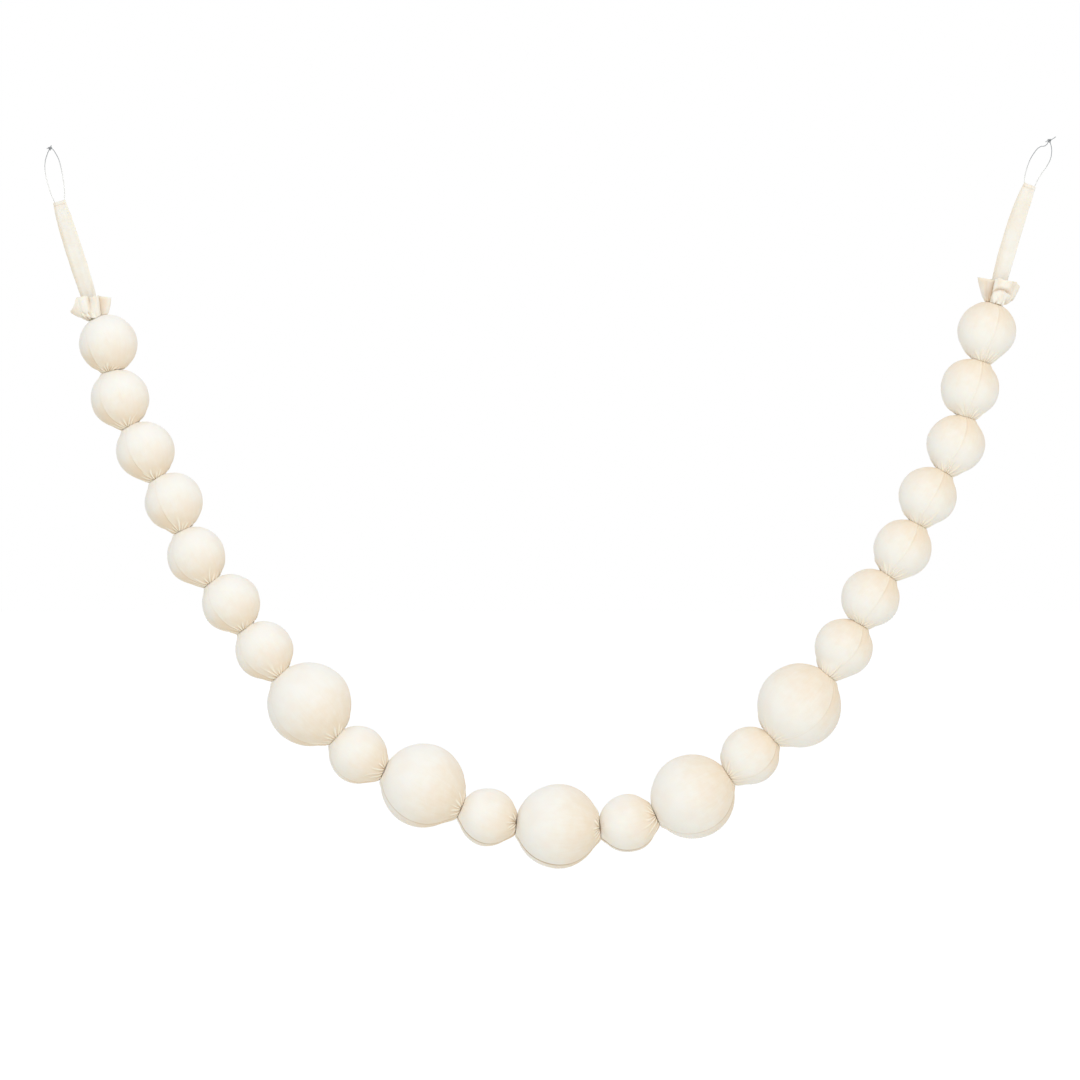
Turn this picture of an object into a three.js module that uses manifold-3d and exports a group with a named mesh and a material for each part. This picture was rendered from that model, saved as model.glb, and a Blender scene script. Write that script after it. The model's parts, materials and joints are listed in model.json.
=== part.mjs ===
// A velvet ball garland: padded balls of two sizes in one row, drawn in at the necks between them. At each
// end the velvet flares out in a frill, and a flat velvet tab comes out of the frill with a loop of clear
// cord at its top. It hangs from the two loops in a deep curve.
//
// Millimetres, +Z up, +X to the right along the garland, +Y away from the front. The origin is midway
// between the two points that the garland hangs from.

import * as THREE from "three";
import { mergeVertices } from "three/addons/utils/BufferGeometryUtils.js";
import Module from "manifold-3d";

const wasm = await Module();
wasm.setup();

// Driving sizes.
const BALL_RADIUS = { small: 31, large: 45 };
const NECK_RADIUS = { small: 11, large: 13.5 }; // the neck between two small balls, or beside a large one
const FOOT_RADIUS = 6; // the velvet bunched under a frill
const CLEARANCE = 0.3; // between pieces that touch
const FRILL_WALL = 2.2; // across the velvet of a frill, measured outwards
const FRILL_REACH = 16; // a frill's mean radius at its rim
const FRILL_RISE = 22; // and its mean height
const FRILL_FLOOR = 4; // the height that is bunched solid
const TAB_WIDTH = 18.4;
const TAB_THICKNESS = 3;
const CORD_RADIUS = 0.45;
const KNOT_RADIUS = 2.1;

// The row of balls, from the left end. lean is the direction from a ball to the next one, in degrees above
// level. gap is the length of the neck between them: below zero the two are pressed flat on each other.
const FIRST_BALL = { x: -470.5, y: -208.5 };
const BALLS = [
  { size: "small", lean: -78, gap: -2 },
  { size: "small", lean: -64, gap: 0 },
  { size: "small", lean: -61, gap: 0.5 },
  { size: "small", lean: -67.5, gap: 0.5 },
  { size: "small", lean: -53.5, gap: 1 },
  { size: "small", lean: -55, gap: -0.5 },
  { size: "small", lean: -50, gap: -0.5 },
  { size: "large", lean: -46, gap: -1 },
  { size: "small", lean: -25.5, gap: 1 },
  { size: "large", lean: -26, gap: 1 },
  { size: "small", lean: -7.5, gap: -0.5 },
  { size: "large", lean: 2.5, gap: -1 },
  { size: "small", lean: 22.5, gap: -1 },
  { size: "large", lean: 35.5, gap: -0.5 },
  { size: "small", lean: 45.5, gap: -1 },
  { size: "large", lean: 52.5, gap: 2 },
  { size: "small", lean: 61.5, gap: -1.5 },
  { size: "small", lean: 57, gap: 1 },
  { size: "small", lean: 64.5, gap: 0.5 },
  { size: "small", lean: 61.5, gap: 1 },
  { size: "small", lean: 76, gap: 0 },
  { size: "small", lean: 73.5, gap: 1.5 },
  { size: "small", lean: 76, gap: 0 },
];
const FIRST_NECK_LEAN = -60; // the row's direction where it comes out of the left frill
const RISING_LEAN = 30; // from here on the next ball of the row is the higher one of the two

// The two ends. Places are measured from the point that the end hangs from, to the right and up.
// A frill's rim has a row for each fold: turn is measured from the front to the right, in degrees.
const ENDS = {
  left: {
    hang: { x: -532, y: -2 },
    frillLean: 101,
    rim: [
      { turn: -95, reach: 22.2, rise: 10.5 },
      { turn: -50, reach: 15.5, rise: 24 },
      { turn: -25, reach: 13.5, rise: 24 },
      { turn: 2, reach: 7.5, rise: 22 },
      { turn: 27, reach: 16, rise: 21 },
      { turn: 56, reach: 12, rise: 22 },
      { turn: 88, reach: 21.7, rise: 17.5 },
      { turn: 118, reach: 12, rise: 22 },
      { turn: 155, reach: 17, rise: 23 },
      { turn: 195, reach: 11, rise: 22 },
      { turn: 232, reach: 16, rise: 18 },
    ],
    tab: { top: [8.8, -54.3], middle: [22.2, -102] },
    loop: [
      [3.2, -53.4], [0.2, -46.5], [-2.9, -37], [-5.2, -28], [-6.4, -19.5], [-6.1, -11.5], [-4, -4],
      [-2.2, 0.2], [-0.3, 2.6], [2.4, 1], [4.8, -2.6], [7.3, -7], [9.2, -12], [10.7, -18], [12, -24.5],
      [13.1, -31], [14, -37.5], [14.6, -44.5], [14.4, -51.2],
    ],
    knot: [-0.9, 2.4],
    tails: [
      [[-0.9, 2.4], [-2.6, 2.9], [-4.4, 2.1]],
      [[-0.9, 2.4], [-0.4, 4.2], [0.6, 5.6]],
    ],
  },
  right: {
    hang: { x: 532, y: 2 },
    frillLean: 77,
    rim: [
      { turn: -92, reach: 21.5, rise: 21.5 },
      { turn: -62, reach: 15, rise: 22 },
      { turn: -38, reach: 7.5, rise: 22.7 },
      { turn: -10, reach: 13.5, rise: 24 },
      { turn: 20, reach: 15.5, rise: 25.5 },
      { turn: 45, reach: 16.5, rise: 26 },
      { turn: 72, reach: 17.5, rise: 26.5 },
      { turn: 98, reach: 23.3, rise: 21.5 },
      { turn: 135, reach: 12, rise: 25 },
      { turn: 178, reach: 17, rise: 25 },
      { turn: 222, reach: 9, rise: 24 },
    ],
    tab: { top: [-16.4, -40.4], middle: [-33.5, -91] },
    loop: [
      [-22.4, -37.4], [-22.2, -33.4], [-21.1, -27.8], [-18.6, -19.4], [-15.8, -12.6], [-12.4, -7],
      [-8.4, -2], [-4.4, 0.6], [-1.2, 0.9], [1.7, 2.8], [4.4, 6.6], [5.5, 3.6], [6.6, -1], [6.7, -6.4],
      [5.4, -13], [1.8, -20.4], [-3.4, -27.8], [-7.6, -34.2], [-10.9, -41.2],
    ],
    knot: [4.4, 6.8],
    tails: [
      [[4.4, 6.8], [2.2, 6.4], [0.2, 5.4]],
      [[4.4, 6.8], [7.6, 8.4], [11.2, 10.8]],
    ],
  },
};

const TOWARDS_FRONT = new THREE.Vector3(0, 0, 1);
const radians = THREE.MathUtils.degToRad;
const heading = (degrees) => new THREE.Vector2(Math.cos(radians(degrees)), Math.sin(radians(degrees)));

// Materials.
const velvet = () => new THREE.MeshStandardMaterial({ color: 0xefe6d6, roughness: 0.85, metalness: 0 });
const clearCord = () => new THREE.MeshStandardMaterial({ color: 0xc9cccf, roughness: 0.25, metalness: 0 });

function named(name, geometry, material) {
  const mesh = new THREE.Mesh(geometry, material);
  mesh.name = name;
  return mesh;
}

// Moves each corner of a geometry to where place puts it.
function reshape(geometry, place) {
  const position = geometry.attributes.position;
  const point = new THREE.Vector3();
  for (let i = 0; i < position.count; i++) {
    place(point.fromBufferAttribute(position, i));
    position.setXYZ(i, point.x, point.y, point.z);
  }
  return geometry;
}

// A ball whose velvet leaves the sphere in a straight line to a flat neck at each end. Each end has its
// distance from the centre and its neck's radius. The two ends turn towards each other by bend, so that
// each faces its neighbour squarely.
function ballGeometry(radius, below, above, bend) {
  const SEGMENTS = 18;
  const RINGS = 8;
  const steepness = (end) => Math.atan2(end.distance, end.neck);
  const tilt = (end) => steepness(end) - Math.acos(Math.min(1, radius / Math.hypot(end.distance, end.neck)));
  const outline = [
    new THREE.Vector2(0, -below.distance),
    new THREE.Vector2(below.neck, -below.distance),
    ...new THREE.Path().absarc(0, 0, radius, -tilt(below), tilt(above)).getSpacedPoints(RINGS),
    new THREE.Vector2(above.neck, above.distance),
    new THREE.Vector2(0, above.distance),
  ];
  const profile = outline.filter((point, i) => i === 0 || point.distanceTo(outline[i - 1]) > 0.05);
  return reshape(new THREE.LatheGeometry(profile, SEGMENTS), (point) => {
    const end = point.y < 0 ? below : above;
    const share = point.y / point.length() / Math.sin(steepness(end));
    point.applyAxisAngle(TOWARDS_FRONT, (bend / 2) * THREE.MathUtils.clamp(share, -1, 1));
  });
}

// The two ends that meet at a neck, the ball's and the next one's. The higher ball is drawn in to the neck.
// The lower one stays round, so the neck is where its sphere is as narrow as that.
function neckEnds(ball, next) {
  const neck = NECK_RADIUS[ball.size === "large" ? "large" : next.size];
  const apart = BALL_RADIUS[ball.size] + ball.gap + BALL_RADIUS[next.size];
  const nextIsLower = ball.lean < RISING_LEAN;
  const lower = BALL_RADIUS[(nextIsLower ? next : ball).size];
  const toLower = Math.sqrt(lower ** 2 - neck ** 2);
  const distance = toLower - CLEARANCE / 2;
  const round = { distance, neck: Math.sqrt(lower ** 2 - distance ** 2) };
  const drawnIn = { distance: apart - toLower - CLEARANCE / 2, neck };
  return nextIsLower ? [drawnIn, round] : [round, drawnIn];
}

// Walks along the row and gives each ball its centre, the directions into and out of it and its two ends.
function walkRow() {
  const foot = { distance: BALL_RADIUS.small - CLEARANCE / 2, neck: FOOT_RADIUS };
  const centre = new THREE.Vector2(FIRST_BALL.x, FIRST_BALL.y);
  let cameBy = FIRST_NECK_LEAN;
  let below = foot;
  return BALLS.map((ball, i) => {
    const radius = BALL_RADIUS[ball.size];
    const next = BALLS[i + 1];
    const [above, nextBelow] = next ? neckEnds(ball, next) : [foot, foot];
    const step = { radius, centre: centre.clone(), cameBy, leavesBy: ball.lean, below, above };
    if (next) centre.addScaledVector(heading(ball.lean), radius + ball.gap + BALL_RADIUS[next.size]);
    cameBy = ball.lean;
    below = nextBelow;
    return step;
  });
}

function ball(step, number) {
  const bend = radians(step.leavesBy - step.cameBy);
  const geometry = ballGeometry(step.radius, step.below, step.above, bend);
  const mesh = named(`ball_${String(number).padStart(2, "0")}`, geometry, velvet());
  mesh.position.set(step.centre.x, step.centre.y, 0);
  mesh.rotation.z = radians((step.leavesBy + step.cameBy) / 2 - 90);
  return mesh;
}

// The value of a rim's column at a turn, easing from each row to the next one round the rim.
function alongRim(rim, turn, column) {
  const start = rim[0].turn;
  const wrapped = start + THREE.MathUtils.euclideanModulo(turn - start, 360);
  const rows = [...rim, { ...rim[0], turn: start + 360 }];
  const next = rows.findIndex((row) => row.turn > wrapped);
  const [a, b] = [rows[next - 1], rows[next]];
  return THREE.MathUtils.lerp(a[column], b[column], THREE.MathUtils.smoothstep(wrapped, a.turn, b.turn));
}

// A frill: a flared cup of velvet whose rim reaches out and rises as its folds say. Its foot is square to
// the neck, and above the bunched floor it leans over by bend.
function frillGeometry(rim, bend) {
  const SEGMENTS = 54;
  const STEPS = 6;
  const FLARE = 0.7; // below one: the velvet spreads most just above the gather
  const wall = (share, inset) => {
    const radius = THREE.MathUtils.lerp(FOOT_RADIUS, FRILL_REACH, share ** FLARE);
    return new THREE.Vector2(radius - inset, FRILL_RISE * share);
  };
  const floorShare = FRILL_FLOOR / FRILL_RISE;
  const profile = [new THREE.Vector2(0, 0)];
  for (let i = 0; i <= STEPS; i++) profile.push(wall(i / STEPS, 0));
  for (let i = STEPS; i > 0; i--) profile.push(wall(Math.max(floorShare, i / STEPS), FRILL_WALL));
  profile.push(new THREE.Vector2(0, FRILL_FLOOR));
  return reshape(new THREE.LatheGeometry(profile, SEGMENTS), (point) => {
    const share = point.y / FRILL_RISE;
    const radius = Math.hypot(point.x, point.z);
    const turn = THREE.MathUtils.radToDeg(Math.atan2(point.x, point.z));
    const spread = (alongRim(rim, turn, "reach") - FRILL_REACH) * share ** 2;
    const stretch = radius > 0 ? (radius + spread) / radius : 1;
    point.x *= stretch;
    point.z *= stretch;
    point.y *= THREE.MathUtils.lerp(1, alongRim(rim, turn, "rise") / FRILL_RISE, share);
    point.applyAxisAngle(TOWARDS_FRONT, bend * Math.min(1, point.y / FRILL_FLOOR));
  });
}

// A tab: a flat strip that widens out of the frill's gather, runs up and narrows at its sewn top.
function tabGeometry(tab, foot) {
  const rows = [
    { up: 0, width: 5 },
    { up: 0.07, width: 8 },
    { up: 0.18, width: 15.5 },
    { up: 0.3, width: TAB_WIDTH - 1.4 },
    { up: 0.5, width: TAB_WIDTH },
    { up: 0.75, width: TAB_WIDTH - 0.6 },
    { up: 0.88, width: 16.4 },
    { up: 0.95, width: 14.6 },
    { up: 1, width: 13.2 },
  ];
  const ROUNDING = 0.9;
  const inwards = (end) => end.clone().addScaledVector(tab.middle.clone().sub(end).normalize(), ROUNDING);
  const line = new THREE.QuadraticBezierCurve(inwards(foot), tab.middle, inwards(tab.top));
  const side = (row, sign) => {
    const tangent = line.getTangent(row.up);
    const across = new THREE.Vector2(tangent.y, -tangent.x);
    return line.getPoint(row.up).addScaledVector(across, sign * (row.width / 2 - ROUNDING));
  };
  const outline = [...rows.map((row) => side(row, 1)), ...rows.toReversed().map((row) => side(row, -1))];
  const geometry = new THREE.ExtrudeGeometry(new THREE.Shape(outline), {
    depth: TAB_THICKNESS - 2 * ROUNDING,
    bevelThickness: ROUNDING,
    bevelSize: ROUNDING,
    bevelSegments: 2,
  });
  return geometry.translate(0, 0, ROUNDING - TAB_THICKNESS / 2);
}

// A solid that manifold-3d can join, from a closed geometry.
function solid(geometry) {
  const bare = geometry.clone();
  bare.deleteAttribute("normal");
  bare.deleteAttribute("uv");
  const merged = mergeVertices(bare, 1e-3);
  const vertProperties = merged.attributes.position.array;
  const triVerts = new Uint32Array(merged.index.array);
  return new wasm.Manifold(new wasm.Mesh({ numProp: 3, vertProperties, triVerts }));
}

function geometryOf(manifold) {
  const mesh = manifold.getMesh();
  const geometry = new THREE.BufferGeometry();
  geometry.setAttribute("position", new THREE.BufferAttribute(mesh.vertProperties, 3));
  geometry.setIndex(new THREE.BufferAttribute(mesh.triVerts, 1));
  geometry.computeVertexNormals();
  return geometry;
}

function cordAlong(points, steps) {
  const curve = new THREE.CatmullRomCurve3(points.map(([x, y]) => new THREE.Vector3(x, y, 0)));
  const section = new THREE.Shape().absarc(0, 0, CORD_RADIUS, 0, 2 * Math.PI);
  return new THREE.ExtrudeGeometry(section, { steps, curveSegments: 4, extrudePath: curve });
}

// A loop: one length of cord whose two ends are tied in a small knot at its top, with both tails free.
function loopGeometry(end) {
  const LOOP_STEPS = 56;
  const TAIL_STEPS = 4;
  const [knotX, knotY] = end.knot;
  const knot = new THREE.SphereGeometry(KNOT_RADIUS, 10, 7).scale(1, 1.15, 0.9).translate(knotX, knotY, 0);
  const tails = end.tails.map((tail) => cordAlong(tail, TAIL_STEPS));
  const pieces = [knot, cordAlong(end.loop, LOOP_STEPS), ...tails].map(solid);
  return geometryOf(pieces.reduce((all, piece) => all.add(piece)));
}

// One end of the garland: its frill on the neck, the tab out of the frill and the loop on the tab.
function endPieces(side, ballStep, neckLean) {
  const end = ENDS[side];
  const neck = ballStep.centre.clone().addScaledVector(heading(neckLean), ballStep.radius + CLEARANCE / 2);
  const hung = (point) => new THREE.Vector2(end.hang.x + point[0], end.hang.y + point[1]);
  const frillShape = frillGeometry(end.rim, radians(end.frillLean - neckLean));
  const frill = named(`frill_${side}`, frillShape, velvet());
  frill.position.set(neck.x, neck.y, 0);
  frill.rotation.z = radians(neckLean - 90);
  const foot = neck.clone().addScaledVector(heading(end.frillLean), FRILL_FLOOR + 2 * CLEARANCE);
  const tab = { top: hung(end.tab.top), middle: hung(end.tab.middle) };
  const loop = named(`loop_${side}`, loopGeometry(end), clearCord());
  loop.position.set(end.hang.x, end.hang.y, 0);
  return [frill, named(`tab_${side}`, tabGeometry(tab, foot), velvet()), loop];
}

// The garland is drawn face on, with X to the right, Y up and Z to the front, and then stood up.
const faceOn = new THREE.Group();
faceOn.rotation.x = Math.PI / 2;
const row = walkRow();
row.forEach((step, i) => faceOn.add(ball(step, i + 1)));
const lastBall = row[row.length - 1];
faceOn.add(...endPieces("left", row[0], FIRST_NECK_LEAN + 180));
faceOn.add(...endPieces("right", lastBall, lastBall.leavesBy));

const garland = new THREE.Group();
garland.add(faceOn);

export default garland;
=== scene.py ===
# %% [markdown]
# # A velvet ball garland
# A tube of cream velvet is drawn over foam balls of two sizes and gathered tight after each one. At both
# ends the tube's raw edge flares out in a frill, a flat velvet tab comes out of the frill, and a loop of
# clear cord is sewn into the tab's top. The CAD model gives the place and size of every piece, and this
# script makes the pieces as they look: pleated, seamed, frilled and napped.

# %% Load the frame
import bisect
import json
import math
import random
from collections import namedtuple

import bmesh
import bpy
from mathutils import Matrix, Vector, noise


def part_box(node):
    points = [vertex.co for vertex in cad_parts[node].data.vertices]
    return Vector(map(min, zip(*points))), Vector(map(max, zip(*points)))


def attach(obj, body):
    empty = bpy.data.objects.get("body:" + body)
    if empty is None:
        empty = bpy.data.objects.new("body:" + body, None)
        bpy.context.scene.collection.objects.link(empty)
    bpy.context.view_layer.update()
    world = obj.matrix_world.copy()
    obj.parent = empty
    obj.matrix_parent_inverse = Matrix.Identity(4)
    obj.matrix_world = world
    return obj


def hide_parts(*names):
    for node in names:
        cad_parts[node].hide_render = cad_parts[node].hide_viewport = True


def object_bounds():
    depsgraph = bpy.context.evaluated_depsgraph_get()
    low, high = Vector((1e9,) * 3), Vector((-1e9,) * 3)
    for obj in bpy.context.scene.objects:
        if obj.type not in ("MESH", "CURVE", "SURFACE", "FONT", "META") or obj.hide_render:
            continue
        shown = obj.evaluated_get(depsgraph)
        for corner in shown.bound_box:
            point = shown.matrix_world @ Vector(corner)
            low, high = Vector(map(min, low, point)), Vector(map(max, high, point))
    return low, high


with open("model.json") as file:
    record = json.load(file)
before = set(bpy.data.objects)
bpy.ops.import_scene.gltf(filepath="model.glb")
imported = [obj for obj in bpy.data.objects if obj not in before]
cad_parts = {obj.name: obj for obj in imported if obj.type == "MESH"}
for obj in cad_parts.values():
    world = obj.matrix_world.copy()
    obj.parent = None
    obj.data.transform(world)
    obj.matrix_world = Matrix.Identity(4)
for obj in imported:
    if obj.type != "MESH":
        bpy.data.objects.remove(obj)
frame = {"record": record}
cad_low, cad_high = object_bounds()
hang = {mount["name"]: Vector(mount["pos_m"]) for mount in frame["record"]["mounts"]}
MM = 0.001
TAU = 2 * math.pi
print("the garland is", [round(side, 3) for side in cad_high - cad_low], "m")

# %% [markdown]
# ## Camera
# The garland hangs face on, so the camera looks level along +Y. A long lens from far away keeps the balls
# at the ends as round as those in the middle. The distance follows from how much of the garland's own
# plane the picture has to take in.

# %% Camera
LENS_MM = 100
SENSOR_MM = 36
PICTURE_WIDTH = 1.1556
LOOK_AT = Vector((-0.0087, 0, -0.4186))

camera_data = bpy.data.cameras.new("camera")
camera_data.lens = LENS_MM
camera_data.sensor_width = SENSOR_MM
camera = bpy.data.objects.new("camera", camera_data)
camera.location = LOOK_AT - Vector((0, PICTURE_WIDTH * LENS_MM / SENSOR_MM, 0))
camera.rotation_euler = (math.radians(90), 0, 0)
bpy.context.scene.collection.objects.link(camera)
bpy.context.scene.camera = camera
print("camera distance", round(-camera.location.y, 2), "m")

# %% [markdown]
# ## Two helpers for materials
# Colours are written as they look on a screen, in sRGB, but a shader wants linear light, so one function
# turns them round. The other adds a node with its settings and its links, so that a material reads as a
# short list of what feeds what.

# %% Helpers for materials
def linear(colour):
    """Six hex digits of sRGB as the linear RGBA that a shader wants."""
    channels = [int(colour[i : i + 2], 16) / 255 for i in (0, 2, 4)]
    return [c / 12.92 if c <= 0.04045 else ((c + 0.055) / 1.055) ** 2.4 for c in channels] + [1]


def add(tree, kind, inputs, **settings):
    """A new node. An input that is given a socket is linked to it, and one that is given a value is set."""
    node = tree.nodes.new(kind)
    for name, value in settings.items():
        setattr(node, name, value)
    for name, value in inputs.items():
        if isinstance(value, bpy.types.NodeSocket):
            tree.links.new(value, node.inputs[name])
        else:
            node.inputs[name].default_value = value
    return node


def new_material(name):
    material = bpy.data.materials.new(name)
    material.use_nodes = True
    material.node_tree.nodes.clear()
    return material, material.node_tree


# %% [markdown]
# ## Clear cord
# The loops are clear drawn nylon, the kind sold as fishing line. Nylon has an index of refraction of 1.53
# and drawing leaves it smooth, so it is mostly see-through with a small sharp gleam. Low down its colour is
# near white and it looks clear. Towards the knot its colour is painted grey, a painted reflection of darker
# things around it, so the colour changes with the height.

# %% Clear cord material
CLEAR_BELOW, GREY_REFLECTION_ABOVE = -30 * MM, -8 * MM


def drawn_nylon():
    material, tree = new_material("drawn_nylon_clear")
    place = add(tree, "ShaderNodeTexCoord", {})
    axes = add(tree, "ShaderNodeSeparateXYZ", {"Vector": place.outputs["Object"]})
    # Painted reflection: the colour turns grey with the height, towards the knot.
    painted_grey_reflection = add(tree, "ShaderNodeMapRange", {"Value": axes.outputs["Z"], "From Min": CLEAR_BELOW,
                                              "From Max": GREY_REFLECTION_ABOVE})
    colour = add(tree, "ShaderNodeMix", {"Factor": painted_grey_reflection.outputs["Result"], "A": linear("F8F8F5"),
                                         "B": linear("B2B6B9")}, data_type="RGBA")
    shader = add(tree, "ShaderNodeBsdfPrincipled", {
        "Base Color": colour.outputs["Result"],
        "Roughness": 0.2,
        "IOR": 1.53,
        "Transmission Weight": 0.55,
    })
    add(tree, "ShaderNodeOutputMaterial", {"Surface": shader.outputs["BSDF"]})
    return material


nylon = drawn_nylon()

# %% [markdown]
# ## The two cord loops
# Each loop is one length of cord, sewn into the top of its tab at both ends and tied near the point that
# it hangs from. A Bezier curve with automatic handles runs smoothly through a few points, and its bevel
# gives it thickness, so the cord stays a curve whose length can be measured. Both legs run a little way
# down inside the tab, as sewn-in cord does.

# %% Cord loops
CORD_DIAMETER = 0.9 * MM
SEWN_IN = 5 * MM
LOOP_ROUTES = {
    "left": [
        (0.0032, -0.0534), (0.0002, -0.0465), (-0.0029, -0.0370), (-0.0052, -0.0280), (-0.0064, -0.0195),
        (-0.0061, -0.0115), (-0.0040, -0.0040), (-0.0022, 0.0002), (-0.0003, 0.0026), (0.0024, 0.0010),
        (0.0048, -0.0026), (0.0073, -0.0070), (0.0092, -0.0120), (0.0107, -0.0180), (0.0120, -0.0245),
        (0.0131, -0.0310), (0.0140, -0.0375), (0.0146, -0.0445), (0.0144, -0.0512),
    ],
    "right": [
        (-0.0224, -0.0374), (-0.0222, -0.0334), (-0.0211, -0.0278), (-0.0186, -0.0194), (-0.0158, -0.0126),
        (-0.0124, -0.0070), (-0.0084, -0.0020), (-0.0044, 0.0006), (-0.0012, 0.0009), (0.0017, 0.0028),
        (0.0044, 0.0066), (0.0055, 0.0036), (0.0066, -0.0010), (0.0067, -0.0064), (0.0054, -0.0130),
        (0.0018, -0.0204), (-0.0034, -0.0278), (-0.0076, -0.0342), (-0.0109, -0.0412),
    ],
}


def cord_curve(name, routes, material):
    """A curve object with a round cord along each route."""
    curve = bpy.data.curves.new(name, "CURVE")
    curve.dimensions = "3D"
    curve.resolution_u = 6
    curve.bevel_depth = CORD_DIAMETER / 2
    curve.bevel_resolution = 3
    curve.use_fill_caps = True
    for route in routes:
        spline = curve.splines.new("BEZIER")
        spline.bezier_points.add(len(route) - 1)
        for bezier, place in zip(spline.bezier_points, route):
            bezier.co = place
            bezier.handle_left_type = bezier.handle_right_type = "AUTO"
    curve.materials.append(material)
    cord = bpy.data.objects.new(name, curve)
    bpy.context.scene.collection.objects.link(cord)
    return cord


def sewn_in(route):
    """The route with both legs carried on, straight, into the tab."""
    first = route[0] + (route[0] - route[1]).normalized() * SEWN_IN
    last = route[-1] + (route[-1] - route[-2]).normalized() * SEWN_IN
    return [first, *route, last]


def in_place(side, points):
    """Points right of and above the place that one end hangs from, as points of the frame."""
    return [hang[f"hang_{side}"] + Vector((right, 0, up)) for right, up in points]


loops = {}
for side, points in LOOP_ROUTES.items():
    route = sewn_in(in_place(side, points))
    loops[side] = cord_curve(f"cord_{side}", [route], nylon)
    length = loops[side].data.splines[0].calc_length()
    print(f"the {side} loop has {length * 1000:.0f} mm of cord")

# %% [markdown]
# ## The knots
# Both ends of a loop are tied in one small overhand knot, and its two tails stand off. An overhand knot is
# a trefoil pulled tight, and a trefoil has a formula, so the knot's turns need no list of points.

# %% Knots
KNOT_WIDTH = 3.7 * MM
KNOT_DEPTH = 0.8
KNOT_STEPS = 48
KNOT_PLACES = {"left": (-0.0009, 0.0024), "right": (0.0044, 0.0068)}
TAILS = {
    "left": [[(-0.0009, 0.0024), (-0.0026, 0.0029), (-0.0044, 0.0021)],
             [(-0.0009, 0.0024), (-0.0004, 0.0042), (0.0006, 0.0056)]],
    "right": [[(0.0044, 0.0068), (0.0022, 0.0064), (0.0002, 0.0054)],
              [(0.0044, 0.0068), (0.0076, 0.0084), (0.0112, 0.0108)]],
}


def trefoil(middle):
    """The turns of an overhand knot round its middle, face on."""
    turns = [TAU * step / KNOT_STEPS for step in range(KNOT_STEPS + 1)]
    return [
        middle + Vector((math.sin(t) + 2 * math.sin(2 * t), KNOT_DEPTH * math.sin(3 * t),
                         math.cos(t) - 2 * math.cos(2 * t))) * (KNOT_WIDTH / 6)
        for t in turns
    ]


for side, cord in loops.items():
    middle = in_place(side, [KNOT_PLACES[side]])[0]
    tails = [in_place(side, tail) for tail in TAILS[side]]
    knot = cord_curve(f"knot_{side}", [trefoil(middle), *tails], nylon)
    for piece in (cord, knot):
        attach(piece, "root")
    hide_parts(f"loop_{side}")

# %% [markdown]
# ## Velvet
# Velvet is woven with a short cut pile that leans one way along the cloth. How pale or warm that pile
# looks depends on how the light falls along it, and here that is painted into the colour, a painted sheen:
# paler towards one end of each ball and warmer and darker towards the other, which on the left half, where
# that end hangs lower, stands for the shade under the balls as well. Every ball is dressed from one tube,
# so that change repeats on each of them. The mesh carries it as an attribute. Two more attributes follow
# the folds: `fold` is painted shade, tan where a point lies deep between two pleats and shade falls, and
# `crest` is a painted highlight on the top of a pleat or seam. The fibres are about 0.1 mm apart, too fine
# to show, so the grain is drawn at 0.6 mm. The longer, fainter streaks are pile that was pressed as the
# tube was pulled on, and the dye is a little rosier in some places than in others.

# %% Velvet material
GRAIN = 0.6 * MM
MOTTLE = 13 * MM
STREAK = (2.5 * MM, 22 * MM)
DYE = 24 * MM
PILE_RELIEF = 0.2 * MM


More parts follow.
